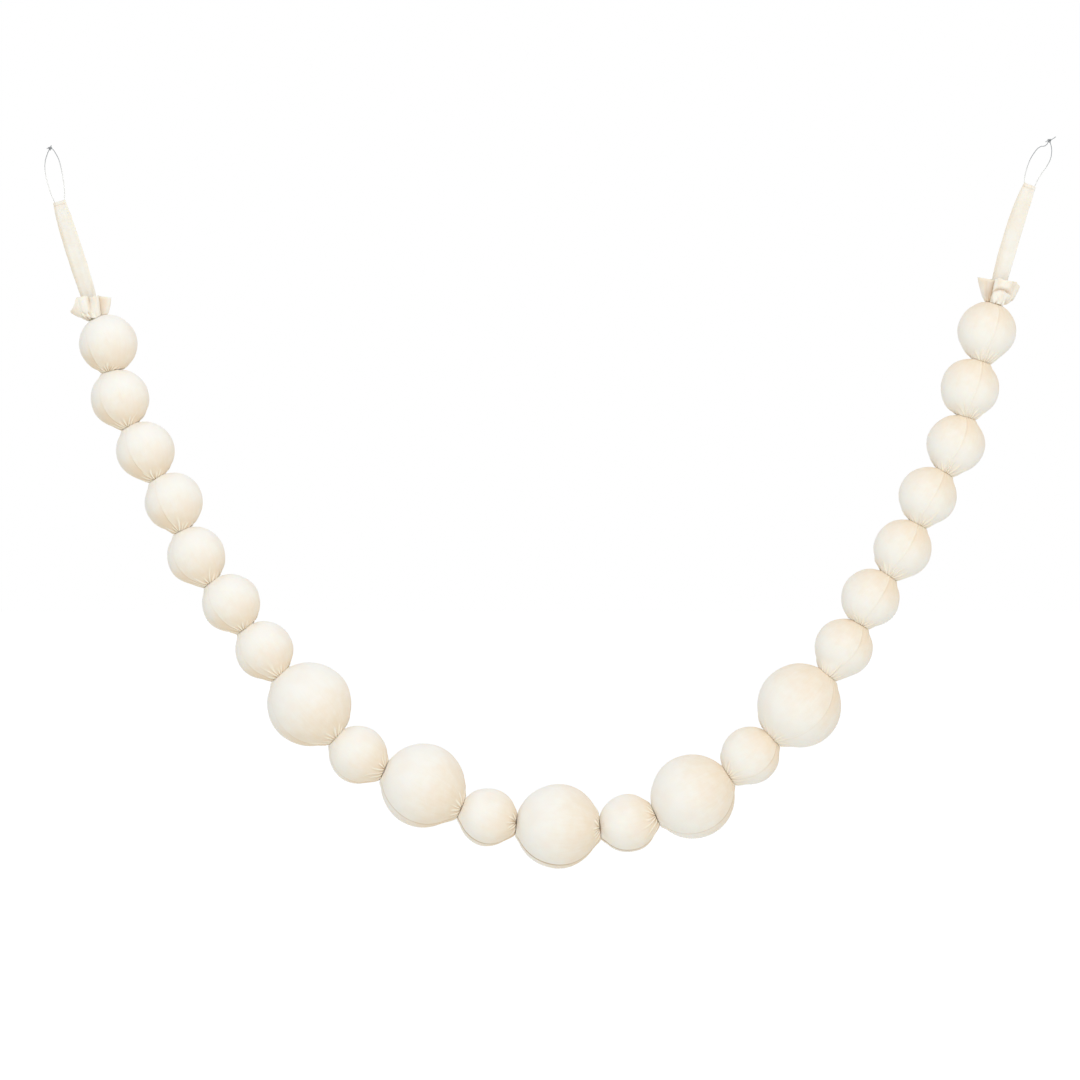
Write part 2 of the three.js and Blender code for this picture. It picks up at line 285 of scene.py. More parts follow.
def cut_pile_velvet():
    material, tree = new_material("velvet_cream_cut_pile")
    cloth = add(tree, "ShaderNodeUVMap", {}, uv_map="cloth")
    nap_sheen = add(tree, "ShaderNodeAttribute", {}, attribute_name="nap_sheen")
    fold = add(tree, "ShaderNodeAttribute", {}, attribute_name="fold")
    crest = add(tree, "ShaderNodeAttribute", {}, attribute_name="crest")

    mottle = add(tree, "ShaderNodeTexNoise", {"Vector": cloth.outputs["UV"], "Scale": 1 / MOTTLE,
                                              "Detail": 3})
    pulled = add(tree, "ShaderNodeMapping", {"Vector": cloth.outputs["UV"],
                                             "Scale": (1 / STREAK[0], 1 / STREAK[1], 1)})
    streak = add(tree, "ShaderNodeTexNoise", {"Vector": pulled.outputs["Vector"], "Scale": 1, "Detail": 2})
    # The pile's painted sheen, with the random streaks and mottle, sets how far the colour goes from pale to
    # warm.
    streaks_and_sheen = add(tree, "ShaderNodeMath", {0: streak.outputs["Fac"], 1: 0.35, 2: nap_sheen.outputs["Fac"]},
                 operation="MULTIPLY_ADD")
    shift = add(tree, "ShaderNodeMath", {0: mottle.outputs["Fac"], 1: 0.9, 2: streaks_and_sheen.outputs[0]},
                operation="MULTIPLY_ADD")
    mottle_and_sheen = add(tree, "ShaderNodeMapRange", {"Value": shift.outputs[0], "From Min": 0.05, "From Max": 2.0},
              interpolation_type="SMOOTHSTEP")
    ground = add(tree, "ShaderNodeMix", {"Factor": mottle_and_sheen.outputs["Result"], "A": linear("FAF7F0"),
                                         "B": linear("F0DFC6")}, data_type="RGBA")
    dye = add(tree, "ShaderNodeTexNoise", {"Vector": cloth.outputs["UV"], "Scale": 1 / DYE, "Detail": 1})
    rosy = add(tree, "ShaderNodeMapRange", {"Value": dye.outputs["Fac"], "From Min": 0.45, "From Max": 0.75,
                                            "To Max": 0.2})
    dyed = add(tree, "ShaderNodeMix", {"Factor": rosy.outputs["Result"], "A": ground.outputs["Result"],
                                       "B": linear("F6E0CF")}, data_type="RGBA")
    # Painted shade: the colour goes tan where the fold mark says shade falls.
    fold_shaded = add(tree, "ShaderNodeMix", {"Factor": fold.outputs["Fac"], "A": dyed.outputs["Result"],
                                         "B": linear("C3AA8C")}, data_type="RGBA")
    # Painted highlight on crests, ridges and edges.
    crest_highlighted = add(tree, "ShaderNodeMix", {"Factor": crest.outputs["Fac"], "A": fold_shaded.outputs["Result"],
                                         "B": linear("FDF6E6")}, data_type="RGBA")
    shader = add(tree, "ShaderNodeBsdfPrincipled", {
        "Base Color": crest_highlighted.outputs["Result"],
        "Roughness": 0.75,
        "IOR": 1.46,
        "Specular IOR Level": 0.25,
        "Subsurface Weight": 0.3,
        "Subsurface Radius": (1.0, 0.8, 0.6),
        "Subsurface Scale": 1.5 * MM,
        "Sheen Weight": 0.04,
        "Sheen Roughness": 0.5,
    })
    grain = add(tree, "ShaderNodeTexNoise", {"Vector": cloth.outputs["UV"], "Scale": 1 / GRAIN, "Detail": 2})
    bump = add(tree, "ShaderNodeBump", {"Height": grain.outputs["Fac"], "Strength": 0.4,
                                        "Distance": PILE_RELIEF})
    tree.links.new(bump.outputs["Normal"], shader.inputs["Normal"])
    add(tree, "ShaderNodeOutputMaterial", {"Surface": shader.outputs["BSDF"]})
    return material


velvet = cut_pile_velvet()

# %% [markdown]
# ## Three small sums
# Cloth has no sharp steps, so its folds and shades are put together from soft ones. `smooth` climbs from 0
# to 1 with level ends, `mix` goes from one value to another, and `bell` is 1 in the middle of a strip and
# fades to 0 past its width.

# %% Small sums
def smooth(share):
    share = min(1, max(0, share))
    return share * share * (3 - 2 * share)


def mix(a, b, share):
    return a + (b - a) * share


def bell(away, width):
    return math.exp(-((away / width) ** 2))


# %% [markdown]
# ## Where each ball hangs
# The row is laid out as in the CAD, from the left end. Each ball has its size, the direction to the next
# one, in degrees above level, and the gap between the two foams, in millimetres. Below zero they are
# pressed together. The last ball's direction is that of the neck which goes on into the right frill.

# %% The row of balls
InRow = namedtuple("InRow", "size lean gap")
RADIUS = {"small": 31 * MM, "large": 45 * MM}
FIRST_BALL = Vector((-470.5, 0, -208.5)) * MM
FIRST_NECK_LEAN, LAST_NECK_LEAN = 120, 76
ROW = [InRow(*ball) for ball in (
    ("small", -78, -2), ("small", -64, 0), ("small", -61, 0.5), ("small", -67.5, 0.5), ("small", -53.5, 1),
    ("small", -55, -0.5), ("small", -50, -0.5), ("large", -46, -1), ("small", -25.5, 1), ("large", -26, 1),
    ("small", -7.5, -0.5), ("large", 2.5, -1), ("small", 22.5, -1), ("large", 35.5, -0.5),
    ("small", 45.5, -1), ("large", 52.5, 2), ("small", 61.5, -1.5), ("small", 57, 1), ("small", 64.5, 0.5),
    ("small", 61.5, 1), ("small", 76, 0), ("small", 73.5, 1.5), ("small", LAST_NECK_LEAN, 0),
)]
BALL_COUNT = len(ROW)


def leaning(degrees):
    """The direction in the garland's plane that is this far above level."""
    return Vector((math.cos(math.radians(degrees)), 0, math.sin(math.radians(degrees))))


radii = [RADIUS[ball.size] for ball in ROW]
middles = [FIRST_BALL]
for i in range(1, BALL_COUNT):
    before = ROW[i - 1]
    middles.append(middles[-1] + leaning(before.lean) * (radii[i - 1] + before.gap * MM + radii[i]))
nodes = [f"ball_{number:02d}" for number in range(1, BALL_COUNT + 1)]
adrift = max(((sum(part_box(node), Vector()) / 2) - middle).length for node, middle in zip(nodes, middles))
print(BALL_COUNT, "balls; the middles of their CAD boxes, with the drawn-in ends, are up to",
      round(adrift / MM, 1), "mm off")

# %% [markdown]
# ## The necks
# At each neck one ball's cloth is drawn in and sits on the other ball, whose end stays nearly round. Where
# the row falls to the right, runs level or rises gently, that is the left ball's cloth, and where it rises
# by more than 30 degrees it is the right ball's. The two cloths meet on a dome over the ball that stays
# round, flatter than the ball itself. At the two ends the row goes on into a frill, which sits on its ball
# in the same way. A neck that runs level isn't stretched by the weight below, so its cloth is slack.

# %% Necks
RISING_LEAN = 30
ROUNDNESS = 0.4


def slackness(way):
    """1 where the row runs level this way, and 0 where it is steep."""
    return smooth(1.25 - 1.6 * abs(way.z))


class Neck:
    """One of a ball's two necks: the way to it, and where the cloth of the two balls meets."""

    def __init__(self, i, other):
        self.at_end = not 0 <= other < BALL_COUNT
        if self.at_end:
            self.way = leaning(FIRST_NECK_LEAN if other < 0 else LAST_NECK_LEAN)
            self.size, self.drawn_in = "small", False
            self.pole, self.lower, self.sign = radii[i], radii[i], -1
        else:
            apart = middles[other] - middles[i]
            self.way = apart.normalized()
            self.size = "large" if "large" in (ROW[i].size, ROW[other].size) else "small"
            self.drawn_in = (other > i) == (ROW[min(i, other)].lean < RISING_LEAN)
            self.lower = radii[other] if self.drawn_in else radii[i]
            self.pole = apart.length - self.lower if self.drawn_in else radii[i]
            self.sign = 1 if self.drawn_in else -1
        self.slack = slackness(self.way)

    def reaches(self, off_axis):
        """How far along its axis the cloth goes before it meets the other's, on the dome."""
        sagging = self.lower - math.sqrt(max(0, self.lower**2 - off_axis**2))
        return self.pole + self.sign * ROUNDNESS * sagging


# %% [markdown]
# ## The pleats of one gather
# Where the tube is drawn in, there is more cloth than the ball has room for. The foam under it won't give,
# so the spare cloth stands up in narrow pleats that run out from the neck like the spokes of a wheel, with
# flatter cloth between them. Closer to the neck there is more to spare and the pleats stand taller. Real
# ones are uneven, so each has its own place, start and fullness, and a few run far up the ball and are
# softer. The thread pulls hardest at one point in front and one behind, towards the outer side of the
# garland's curve, so the pleats meet there, at the edge of the neck, and not on its middle line. The random
# numbers are seeded, so every run gives the same garland.

# %% Gathers
PLEAT_WIDTH, PLEAT_WIDENS, PLEAT_LEAST = 0.45 * MM, 0.06, 0.05 * MM
SHARE_OF_ROOM = {"wide": 0.3, "high": 0.75}
PLEAT_LIMIT = 1.5 * MM
SHADED_HEIGHT = 0.7 * MM
FOLD_WIDTH = 1.7 * MM
WANDER = 0.16
PINCH = 10 * MM
SHORT_OR_LONG = ((0.7, 0.9), (0.85, 1.1), (1.0, 1.3), (1.0, 1.3), (1.75, 2.2))


class Gather:
    """The pleats round one neck of a ball. Each starts at an angle out from the point where they meet."""

    def __init__(self, dice, count, start, radius, side):
        widths = [dice.uniform(0.6, 1.4) for _ in range(count)]
        kinds = [dice.choice(SHORT_OR_LONG) for _ in widths]
        self.turns = [sum(widths[:k]) * TAU / sum(widths) for k in range(count)]
        self.starts = [start * length * dice.uniform(0.9, 1.1) for length, ease in kinds]
        self.eases = [ease for length, ease in kinds]
        self.fullness = [dice.uniform(0.6, 1.15) for _ in widths]
        self.reach = max(self.starts)
        self.radius = radius
        self.pinch = math.asin(PINCH / radius)
        self.side = math.radians(side + dice.uniform(-8, 8))
        self.bends = [dice.uniform(-9, 9) for _ in range(2)]

    def from_pinch(self, around, out):
        """A place on the ball as the turn round the point where the pleats meet and the angle out from it."""
        to_pole = math.cos(out)
        to_side = math.sin(around - self.side) * math.sin(out)
        to_front = abs(math.cos(around - self.side)) * math.sin(out)
        ahead = to_front * math.cos(self.pinch) - to_pole * math.sin(self.pinch)
        near = to_front * math.sin(self.pinch) + to_pole * math.cos(self.pinch)
        return math.atan2(to_side, ahead), math.acos(max(-1, min(1, near)))

    def pleat(self, k, room, out):
        """How high pleat k stands, at an angle out from where they meet, where it has this much room."""
        if out >= self.starts[k]:
            return 0
        spare = max(0, 1 - math.sin(out) / math.sin(min(math.pi / 2, self.starts[k])))
        return min(PLEAT_LIMIT, SHARE_OF_ROOM["high"] * room * spare ** self.eases[k] * self.fullness[k])

    def at(self, around, out):
        """The height of the cloth over the ball, its painted shade in a fold and its painted highlight on a
        crest.
        """
        if out >= self.reach:
            return 0, 0, 0
        wander = noise.noise(Vector((math.cos(around) * 2 + self.bends[0], math.sin(around) * 2, out * 2.2)))
        around = (around + WANDER * wander) % TAU
        k = bisect.bisect_right(self.turns, around) - 1
        after = (k + 1) % len(self.turns)
        width = (self.turns[after] - self.turns[k]) % TAU
        across = self.radius * math.sin(min(out, math.pi / 2))
        room = width * across
        thick = min(PLEAT_WIDTH + PLEAT_WIDENS * across, SHARE_OF_ROOM["wide"] * room) + PLEAT_LEAST
        height = shade = light = 0
        for pleat, away in ((k, around - self.turns[k]), (after, self.turns[k] + width - around)):
            full = self.pleat(pleat, room, out)
            strength = min(1, full / SHADED_HEIGHT)
            top = bell(away * across, thick)
            height = max(height, full * top)
            shade = max(shade, strength * (1 - top) * bell(away * across, FOLD_WIDTH))
            light = max(light, strength * top * top)
        return height, shade, light


# %% [markdown]
# ## What is different from ball to ball
# The garland hangs in one curve, so its balls differ in an orderly way. A ball's two ends aren't opposite
# each other, because each turns towards its neighbour. The long pleats are at the end that is drawn in, and
# the round end has short, flat ones. The long ones start closer to the neck on the left half than on the
# right half, and a large ball has more of them. Where the row is steep, the point at which the pleats meet
# is further round to the outer side, and where it is level it is nearly in front. After ball 14 the painted
# shade in the folds is lighter, and it is darkest where the cloth is slack.

# %% One ball of the row
PLEAT_COUNTS = {"small": 13, "large": 16}
DRAWN_IN_START = {"left": 29, "right": 40}
ROUND_END_START = 22
START_SHARE = {"small": 1, "large": 0.85}
ROUND_END_FULLNESS = {"left": 0.1, "right": 0.45}
PINCH_SIDE = {"level": 6, "steep": 30}
PAINTED_FOLD_SHADE = {"left": 0.8, "right": 0.55, "if_slack": 0.3}
PALER_FROM, PALER_WITHIN = 13, 4
SEAM_TURNS = [34, 31, 24, 20, 39, 31, 40, 50, 58, 53, 57, 58, 62, 52, 34, 29, 17, 9, 2, 3, 2, 5, 7]
FRONT = Vector((0, -1, 0))


class Ball:
    """A ball's place, necks and gathers. Turns round its axis are from the front towards the outer side."""

    def __init__(self, i):
        self.i, self.size, self.radius, self.middle = i, ROW[i].size, radii[i], middles[i]
        self.necks = (Neck(i, i - 1), Neck(i, i + 1))
        self.axis = (self.necks[1].way - self.necks[0].way).normalized()
        self.outer = Vector((self.axis.z, 0, -self.axis.x))
        self.bend = math.atan2(self.necks[1].way.dot(self.outer), self.necks[1].way.dot(self.axis))
        self.on_left = 1 - i / (BALL_COUNT - 1)
        self.slack = slackness(self.axis)
        self.seam = math.radians(SEAM_TURNS[i])
        paler = smooth((i - PALER_FROM) / PALER_WITHIN)
        self.painted_fold_shade = mix(PAINTED_FOLD_SHADE["left"], PAINTED_FOLD_SHADE["right"], paler)
        self.painted_fold_shade += PAINTED_FOLD_SHADE["if_slack"] * self.slack
        dice = random.Random(f"velvet_{nodes[i]}")
        self.gathers = [self.gather(dice, neck) for neck in self.necks]
        self.drift = Vector([dice.uniform(-9, 9) for _ in range(3)])

    def by_half(self, values):
        """Between the value for the left half and that for the right half."""
        return mix(values["right"], values["left"], self.on_left)

    def by_slack(self, values):
        """Between the value for tight cloth and that for slack cloth."""
        return mix(values["tight"], values["slack"], self.slack)

    def gather(self, dice, neck):
        """The gather at a neck, and how full it is."""
        start = self.by_half(DRAWN_IN_START) if neck.drawn_in else ROUND_END_START
        start = math.radians(start) * START_SHARE[self.size]
        full = 1 if neck.drawn_in else self.by_half(ROUND_END_FULLNESS)
        side = mix(PINCH_SIDE["level"], PINCH_SIDE["steep"], smooth(1.5 * abs(neck.way.z) - 0.25))
        return Gather(dice, PLEAT_COUNTS[self.size], start, self.radius, side), full


# %% [markdown]
# ## What the gathers and the foam do to the cloth
# Both functions take a place on a ball and tell how far the cloth lies above the foam there, and the second
# one tells how much painted shade and painted highlight it gets as well. The foam isn't quite round, so it
# has slight hills and dents. Where the pleats meet, the thread presses a small dent, and the painted shade
# in the folds between them is darkest close to it.

# %% Uneven foam and gathered cloth
NEAR_POLE = 0.3
HILLS, DENTS = 0.6 * MM, 0.25 * MM
PINCH_DEPTH, PINCH_WIDTH = 0.4 * MM, 2 * MM
DARK_WITHIN = 7 * MM
FOLD_SHADE, SHADE_NEAR_PINCH = 0.55, 1.1


def unevenness(ball, around, polar, normal):
    """The height that the foam's hills and dents give, away from the poles."""
    uneven = noise.noise(normal * 1.6 + ball.drift) * HILLS
    round_and_along = Vector((math.cos(around), math.sin(around), polar / 2))
    uneven += noise.noise(round_and_along * 2 + ball.drift) * DENTS
    return uneven * smooth((math.sin(polar) - NEAR_POLE) / 0.4)


def gathered(ball, around, polar):
    """The height, and the painted fold shade and crest highlight, that the pleats of both gathers give."""
    height = fold = crest = 0
    for (gather, full), out in zip(ball.gathers, (polar, math.pi - polar)):
        round_pinch, from_pinch = gather.from_pinch(around, out)
        lift, deep, top = gather.at(round_pinch, from_pinch)
        pinched = bell(from_pinch * ball.radius, PINCH_WIDTH)
        near_pinch = bell(from_pinch * ball.radius, DARK_WITHIN)
        height += full * (lift - PINCH_DEPTH * pinched)
        fold += full * ball.painted_fold_shade * deep * (FOLD_SHADE + SHADE_NEAR_PINCH * near_pinch)
        crest += full * top * (1 - pinched)
    return height, fold, crest


# %% [markdown]
# ## The seam
# The tube is closed by one seam, which twists as it goes from ball to ball. It is a fine ridge with a
# painted highlight on it and a row of stitches on one side, with painted shade in them. On that side the
# cloth first dips, and past the seam the colour is painted warmer and darker, a painted shade. The dip and
# that painted shade show more towards a ball's second neck than at its first one, and so does the ridge on
# the left half. Where the cloth is slack they show all along. All of it but the painted shade past the seam
# fades before both necks.

# %% The seam
SEAM_SLANT = math.radians(4)
RIDGE_WIDTH, RIDGE_HEIGHT = 0.7 * MM, 0.4 * MM
STITCHES_AT, STITCH_DEPTH = 1.7 * MM, 0.2 * MM
STITCHES_WIDTH = {"tight": 0.6 * MM, "slack": 1.6 * MM}
STEP_WIDTH = 2.5 * MM
DIP_WIDTH, DIP_DEPTH = 11 * MM, 0.45 * MM
DIP = {"left": 0.7, "right": 0.12}
PAST_SEAM_SHADE_WIDTH = 34 * MM
PAST_SEAM_SHADE = {"left": 1, "right": 0.35}
RIDGE_ON_RIGHT, STITCHES_LEAST = 0.7, 0.4
SEAM_STITCH_SHADE, SEAM_RIDGE_HIGHLIGHT = {"tight": 0.15, "slack": 1}, {"tight": 0.5, "slack": 0.2}


def sewn(ball, from_seam, along_share, out_share):
    """The height, painted shade and painted highlight that the seam gives, and the painted shade past it."""
    across = from_seam * ball.radius * out_share
    late = max(ball.slack, smooth((along_share + 0.35) / 0.9))
    ridge = bell(across, RIDGE_WIDTH) * mix(RIDGE_ON_RIGHT, late, ball.on_left)
    stitches = bell(across - STITCHES_AT, ball.by_slack(STITCHES_WIDTH)) * max(STITCHES_LEAST, late)
    stitches *= mix(1, 0.5, ball.slack * smooth((along_share + 0.3) / 0.8))
    past = smooth(across / STEP_WIDTH + 0.5) * late
    dip = past * ball.by_half(DIP) * (1 - smooth(across / DIP_WIDTH))
    # Past the seam the colour is painted warmer and darker: a painted shade, carried by the pile's sheen
    # mark.
    turned = past * ball.by_half(PAST_SEAM_SHADE) * (1 - smooth(across / PAST_SEAM_SHADE_WIDTH))
    height = RIDGE_HEIGHT * ridge - DIP_DEPTH * dip - STITCH_DEPTH * stitches
    open_seam = smooth((out_share - NEAR_POLE) / 0.3)
    fold = ball.by_slack(SEAM_STITCH_SHADE) * stitches * open_seam
    crest = ball.by_slack(SEAM_RIDGE_HIGHLIGHT) * ridge * open_seam
    return height * open_seam, fold, crest, turned


# %% [markdown]
# ## The cloth at a neck
# The tube is tight, so near a drawn-in neck the cloth leaves the foam and runs straight to a ring on the
# next ball, puffing out a little on the way, most on the outer side. Inside the ring it lies on the next
# ball. The ring is wider on the outer side of the garland's curve, where the weight pulls, and, where the
# row is steep, in front and behind as well. Where the row is level the gather is slack, and a crack stays
# open at the ring in front and behind, with painted shade along the ring. The weight hauls the ring's outer
# side open by a hair too, with a little painted shade, most from ball 8 on and less and less towards the
# right end.

# %% Where two balls meet
NECK_RINGS = {"small": (4 * MM, 11.5 * MM), "large": (6 * MM, 14 * MM)}
FACES_WIDE = {"left": 2.5 * MM, "right": 4 * MM}
PUFF = {"front": 0.3 * MM, "inner": 0.6 * MM, "outer": 1.7 * MM}
PUFF_TO_ONE = 27 / 4
TOUCH = 0.03 * MM
CRACK = {"level": 0.35 * MM, "hauled": 0.1 * MM}
CRACK_SHADE = {"level": 0.8, "hauled": 0.5}
HAULED, HAULED_MOST_FROM = 1.3, 7


def meeting(ball, neck, around):
    """At a turn round a neck: the ring's distance off the axis, the space left, the puff and the shade."""
    to_side, facing = math.sin(around), math.cos(around) ** 2
    inner, outer = NECK_RINGS[neck.size]
    ring = mix(inner, outer, (1 + to_side) / 2)
    ring += ball.by_half(FACES_WIDE) * (1 - neck.slack) * facing
    hauled = HAULED * ball.on_left * smooth(ball.i / HAULED_MOST_FROM) * max(0, to_side)
    space = TOUCH + CRACK["level"] * neck.slack * facing + CRACK["hauled"] * hauled
    puff = mix(PUFF["front"], PUFF["outer" if to_side > 0 else "inner"], to_side**2)
    return ring, space, puff, CRACK_SHADE["level"] * neck.slack + CRACK_SHADE["hauled"] * hauled


def stretched(neck, off_axis, radius, ring, space, puff):
    """How far along the axis the cloth is: on the next ball, on the straight run, or on its own foam."""
    on_foam = math.sqrt(max(0, radius**2 - off_axis**2))
    if neck.at_end:
        return on_foam
    if off_axis <= ring:
        return neck.reaches(off_axis) - space
    end = neck.reaches(ring) - space
    leaves = math.atan2(ring, end) + math.acos(min(1, radius / math.hypot(ring, end)))
    foam_from = radius * math.sin(leaves)
    if off_axis >= foam_from:
        return on_foam
    run = (off_axis - ring) / (foam_from - ring)
    return mix(end, radius * math.cos(leaves), run) + puff * PUFF_TO_ONE * run * (1 - run) ** 2


# %% [markdown]
# ## What the velvet reads from a mesh
# The material reads three marks at each vertex: one for the pile's painted sheen, `fold` for painted shade
# and `crest` for painted highlight. It reads a UV map as well, `cloth`, which is the piece of cloth laid
# flat, in metres. A closed piece is cut open there, and a face that crosses the cut is carried on past the
# map's edge, so that the pattern doesn't race back over it.

# %% Marks and the flat map
CLOTH_MARKS = ("nap_sheen", "fold", "crest")


def mark_cloth(bm):
    return [bm.verts.layers.float.new(mark) for mark in CLOTH_MARKS]


def lay_flat(bm, cloth, way_round=math.inf):
    """Writes every vertex's place on the flat cloth as its UV. A closed piece is way_round long there."""
    uv = bm.loops.layers.uv.new("cloth")
    for face in bm.faces:
        across = [cloth[loop.vert][0] for loop in face.loops]
        over_cut = max(across) - min(across) > way_round / 2
        for loop in face.loops:
            u, v = cloth[loop.vert]
            loop[uv].uv = (u + way_round if over_cut and u < 0 else u, v)


# %% [markdown]
# ## Dress a ball
# A ball starts as a sphere mesh with its poles at the two necks. Its rings are drawn closer where the
# pleats are, and its columns towards the seam, where the cloth needs the finest steps. Then each vertex
# moves to where the cloth is, and the poles turn towards their necks. Moving the vertices of one closed
# mesh keeps it closed.

# %% Dress a ball
PAST_SEAM_INTO_SHEEN = 0.65
RING_SHADE_WIDTH = 1.1 * MM


def finer_steps(place):
    """The turn from the seam and the angle from the first neck, for a vertex of the even sphere."""
    even_polar = math.acos(max(-1, min(1, place.z)))
    polar = even_polar - 0.25 * math.sin(2 * even_polar) + 0.1 * math.sin(4 * even_polar)
    even_turn = math.atan2(place.y, place.x)
    return even_turn - 0.5 * math.sin(even_turn), polar


def turned_to_neck(ball, neck, ring, along, off_axis, along_share, round_axis):
    """The place of a point of the cloth. Inside the ring it turns all the way, and further out ever less."""
    met = neck.reaches(ring)
    turned = min(1, along / math.hypot(along, off_axis) * math.hypot(met, ring) / met)
    turn = ball.bend * math.copysign(turned, along_share)
    place = ball.axis * math.copysign(along, along_share) + round_axis * off_axis
    return ball.middle + Matrix.Rotation(-turn, 3, FRONT) @ place


def dress(bm, ball):
    """Moves a unit sphere's vertices to the place and shape of the ball, and marks its cloth."""
    nap_sheen_mark, fold_mark, crest_mark = mark_cloth(bm)
    cloth = {}
    for vert in bm.verts:
        from_seam, polar = finer_steps(vert.co)
        along_share, out_share = -math.cos(polar), math.sin(polar)
        around = ball.seam + from_seam + SEAM_SLANT * along_share
        round_axis = FRONT * math.cos(around) + ball.outer * math.sin(around)
        cloth[vert] = (from_seam * ball.radius, polar * ball.radius)

        uneven = unevenness(ball, around, polar, round_axis * out_share + ball.axis * along_share)
        pleated, pleat_fold, pleat_crest = gathered(ball, around, polar)
        raised, seam_fold, seam_crest, painted_past_seam = sewn(ball, from_seam, along_share, out_share)
        height = uneven + pleated + raised

        neck = ball.necks[along_share > 0]
        on_foam = ball.radius * out_share
        ring, space, puff, shade = meeting(ball, neck, around)
        if not neck.drawn_in:
            height *= smooth((on_foam - ring) / ring * 2)
        along = stretched(neck, on_foam, ball.radius, ring, space, puff) + height * abs(along_share)
        off_axis = out_share * (ball.radius + height)
        if not neck.at_end:
            along = min(along, neck.reaches(off_axis) - space)
        vert.co = turned_to_neck(ball, neck, ring, along, off_axis, along_share, round_axis)
        # The marks: the pile's painted sheen, painted shade in folds, stitches and along the ring, and
        # painted highlight on crests.
        vert[nap_sheen_mark] = along_share + PAST_SEAM_INTO_SHEEN * painted_past_seam
        vert[fold_mark] = min(1, pleat_fold + seam_fold + bell(on_foam - ring, RING_SHADE_WIDTH) * shade)
        vert[crest_mark] = min(1, pleat_crest + seam_crest)
    lay_flat(bm, cloth, TAU * ball.radius)


# %% [markdown]
# ## Make the balls
# Each ball is one padded piece that takes the place of its CAD solid. Its faces have to point outwards.
# Recalculating the normals judges that from one far face, which is a poor guide on a pleated ball, so the
# sign of the whole mesh's volume decides. The frills and tabs are made of the same velvet and finished in
# the same way, so that step is a function of its own.

# %% Make the balls
COLUMNS, RINGS = 224, 80


def face_outwards(bm):
    """Makes a closed mesh's faces agree, and point outwards."""
    bmesh.ops.recalc_face_normals(bm, faces=bm.faces)
    if bm.calc_volume(signed=True) < 0:
        bmesh.ops.reverse_faces(bm, faces=bm.faces)


def finished(name, bm, material, smooth_shading=True):
    """A linked object from a bmesh, with its place in its mesh."""
    for face in bm.faces:
        face.smooth = smooth_shading
    mesh = bpy.data.meshes.new(name)
    bm.to_mesh(mesh)
    bm.free()
    mesh.materials.append(material)
    piece = bpy.data.objects.new(name, mesh)
    bpy.context.scene.collection.objects.link(piece)
    return piece


def velvet_piece(node, bm):
    """A piece of velvet in place of a CAD node."""
    piece = finished(f"velvet_{node}", bm, velvet)
    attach(piece, "root")
    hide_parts(node)
    return piece


for i in range(BALL_COUNT):
    bm = bmesh.new()
    bmesh.ops.create_uvsphere(bm, u_segments=COLUMNS, v_segments=RINGS, radius=1)
    dress(bm, Ball(i))
    face_outwards(bm)
    velvet_ball = velvet_piece(nodes[i], bm)
print("each ball has", len(velvet_ball.data.polygons), "faces")

# %% [markdown]
# ## The frills' folds
# Past the last gather the raw end of the tube flares out like a flower. Just past the gather the cloth puffs
# out to its belly, and from there a wall runs to the rim. A short table gives the main folds, a row for each
# hill and valley round the rim, with its turn in degrees from the front towards the right. A row says how
# far the rim reaches from the frill's middle line and how high it rises, how wide the belly is and how high
# its brim stands over the foot, how the wall curves from belly to rim, and how deep in shade the cloth lies
# at the rim and at the foot. Lengths are in millimetres. The cloth is round on its hills and sharp in its
# valleys. The right frill's front is bent in along an arc, whose measures are in degrees and in shares of
# the wall.

# %% The frills' folds
Rim = namedtuple("Rim", "turn reach rise belly brim curve rim_shade foot_shade")
RIMS = {
    "left": [Rim(*row) for row in (
        (-95, 22.2, 10.5, 12, 3.5, 0.65, 0, 0), (-50, 15.5, 24, 12, 4, 0.65, 0, 0),
        (-25, 13.5, 24, 12.5, 2.5, 0.65, 0, 0), (2, 7.5, 22, 13.2, -0.5, 1.7, 0.7, 0),
        (27, 16, 21, 12.5, -2, 0.65, 0, 0), (56, 12, 22, 9, -2, 0.65, 0.6, 1),
        (88, 21.7, 17.5, 13, -1.5, 0.65, 0, 0), (118, 12, 22, 9, 0, 0.65, 0.4, 0.8),
        (155, 17, 23, 12, 0, 0.65, 0, 0), (195, 11, 22, 9, 0, 0.65, 0.4, 0.8),
        (232, 16, 18, 11, 2, 0.65, 0, 0),
    )],
    "right": [Rim(*row) for row in (
        (-92, 21.5, 21.5, 8.5, -1, 0.65, 0, 0.2), (-62, 15, 22, 9, -1.5, 0.65, 0.4, 0.9),
        (-38, 7.5, 22.7, 7, -1.5, 0.65, 1, 1), (-10, 13.5, 24, 11.5, -2, 0.65, 0, 0),
        (20, 15.5, 24, 12.5, -2, 0.65, 0, 0), (45, 16.5, 24.5, 12.5, -2, 0.65, 0, 0),
        (72, 18, 25.5, 13.5, 1, 0.55, 0, 0), (98, 22.8, 21.5, 17, 6, 0.35, 0, 0),
        (135, 12, 25, 9.5, 0, 0.65, 0.4, 0.8), (178, 17, 25, 12, 0, 0.65, 0, 0),
        (222, 9, 24, 8, 0, 0.65, 0.5, 0.8),
    )],
}
FRILL_LEANS = {"left": 101, "right": 77}
FRILL_FOOT = 5.2
BELLY_SHARE = 0.26
CREASE_MIDDLE, CREASE_HALF_LENGTH = 20, 42
CREASE_HEIGHT, CREASE_SAG, CREASE_WIDTH = 0.6, 0.13, 0.07


